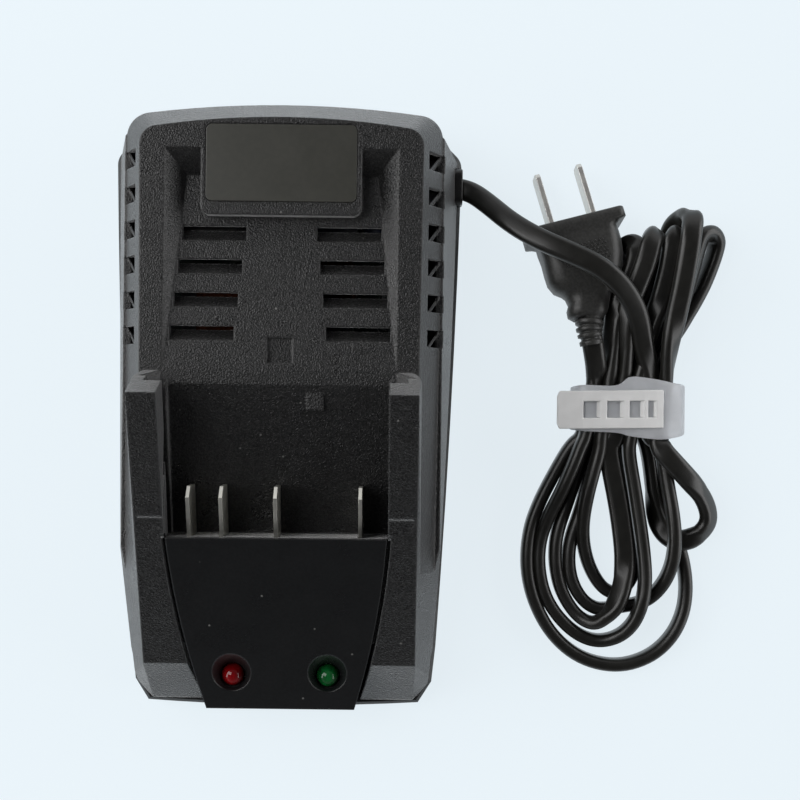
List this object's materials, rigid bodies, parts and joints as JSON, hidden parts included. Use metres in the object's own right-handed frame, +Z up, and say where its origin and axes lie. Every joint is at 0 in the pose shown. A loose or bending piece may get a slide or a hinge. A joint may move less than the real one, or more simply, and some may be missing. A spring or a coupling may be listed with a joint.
{
  "type": "power tool battery charger",
  "caption": "Slide-in power tool battery charger with sloping rails, contact blades, indicator lamps, vents and a tied mains lead ending in a flat plug.",
  "frame": {"origin": "under the middle of the charger housing, on the surface it stands on", "axes": "+Z up, +Y towards the rear deck with the label plate, -Y towards the lamps, +X towards the side where the mains lead leaves"},
  "size_m": [0.177, 0.174, 0.057],
  "materials": {
    "housing_black": "fine spark-eroded texture, nearly black",
    "base_grey": "smooth mid-grey moulding",
    "cover_dark": "smoother than the housing, dark grey",
    "label_grey": "plain bare plate, semi-gloss",
    "red_lens": "moulded tinted lens",
    "green_lens": "moulded tinted lens",
    "nickel": "nickel-plated brass strip",
    "contact_block": "black moulding",
    "board": "green laminate",
    "ferrite": "dark grey sintered core",
    "copper": "enamelled copper winding",
    "sleeve_black": "black sleeve or epoxy body",
    "film_yellow": "yellow film box",
    "disc_blue": "blue dipped disc",
    "fuse_glass": "clear glass with metal caps",
    "sink_aluminium": "extruded aluminium",
    "screw_steel": "zinc-plated steel",
    "foot_rubber": "soft black rubber",
    "cord_black": "shiny flexible sheath",
    "plug_black": "moulded flexible plastic",
    "tie_white": "translucent white strap",
    "holder_white": "white lamp spacers",
    "wire_brown": "brown wire sleeve",
    "wire_blue": "blue wire sleeve"
  },
  "bodies": {
    "root": {"upper_shell": "housing_black", "lower_shell": "base_grey", "front_cover": "cover_dark", "label_plate": "label_grey", "contact_blade_1": "nickel", "contact_blade_2": "nickel", "contact_blade_3": "nickel", "contact_blade_4": "nickel", "contact_block": "contact_block", "circuit_board": "board", "red_lamp": "red_lens", "green_lamp": "green_lens", "lamp_holders": "holder_white", "transformer_core": "ferrite", "transformer_winding": "copper", "bulk_capacitor": "sleeve_black", "filter_capacitor": "film_yellow", "mains_choke": "copper", "mains_fuse": "fuse_glass", "bridge_rectifier": "sleeve_black", "heat_sink": "sink_aluminium", "power_transistors": "sleeve_black", "output_capacitors": "sleeve_black", "output_coil": "copper", "controller_chip": "sleeve_black", "surge_absorber": "disc_blue", "housing_screws": "screw_steel", "board_screws": "screw_steel", "rubber_feet": "foot_rubber", "cord_bushing": "plug_black", "lead_sheath": "cord_black", "cord_clamp": "plug_black", "clamp_screws": "screw_steel", "live_wire": "wire_brown", "neutral_wire": "wire_blue", "mains_cord": "cord_black", "cord_hank": "cord_black", "plug_body": "plug_black", "plug_blades": "nickel", "cord_tie": "tie_white"}
  },
  "joints": []
}
